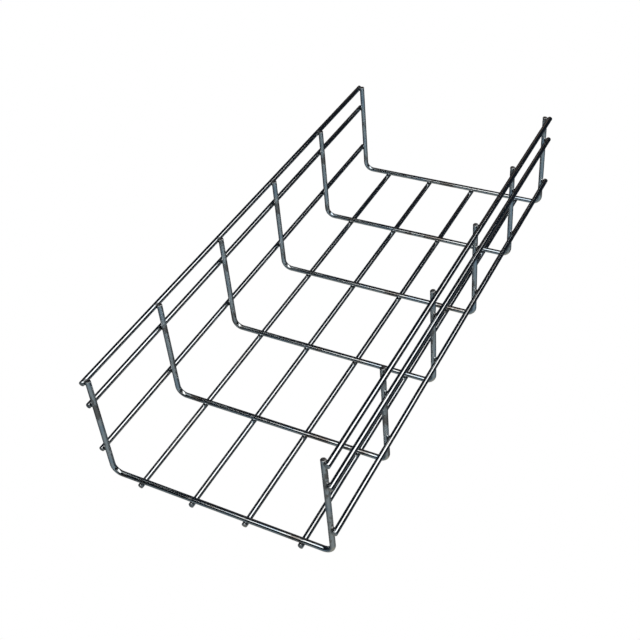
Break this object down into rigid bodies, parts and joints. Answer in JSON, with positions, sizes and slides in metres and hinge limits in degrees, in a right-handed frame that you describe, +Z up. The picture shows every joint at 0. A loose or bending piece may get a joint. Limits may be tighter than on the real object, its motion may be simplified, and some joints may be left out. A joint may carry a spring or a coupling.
{
  "type": "wire mesh cable basket",
  "caption": "Straight section of cable tray welded from round zinc-plated wire: U-shaped cross wires with straight line wires outside them, open at the top and at both ends.",
  "frame": {"origin": "midway along the tray on its centre line, at the underside of the floor line wires", "axes": "+X across the tray to the right, +Y along the run, +Z up from the floor to the open top"},
  "size_m": [0.2182, 0.507, 0.1105],
  "materials": {
    "zinc_cross_wire": "electroplated zinc, clear blue passivated, satin where the wire was bent",
    "zinc_line_wire": "electroplated zinc, clear blue passivated, bright drawn surface"
  },
  "bodies": {
    "root": {"cross_wire_1": "zinc_cross_wire", "cross_wire_2": "zinc_cross_wire", "cross_wire_3": "zinc_cross_wire", "cross_wire_4": "zinc_cross_wire", "cross_wire_5": "zinc_cross_wire", "cross_wire_6": "zinc_cross_wire", "floor_wire_1": "zinc_line_wire", "floor_wire_2": "zinc_line_wire", "floor_wire_3": "zinc_line_wire", "floor_wire_4": "zinc_line_wire", "side_wire_left_low": "zinc_line_wire", "side_wire_left_mid": "zinc_line_wire", "side_wire_left_top": "zinc_line_wire", "side_wire_right_low": "zinc_line_wire", "side_wire_right_mid": "zinc_line_wire", "side_wire_right_top": "zinc_line_wire"}
  },
  "joints": []
}
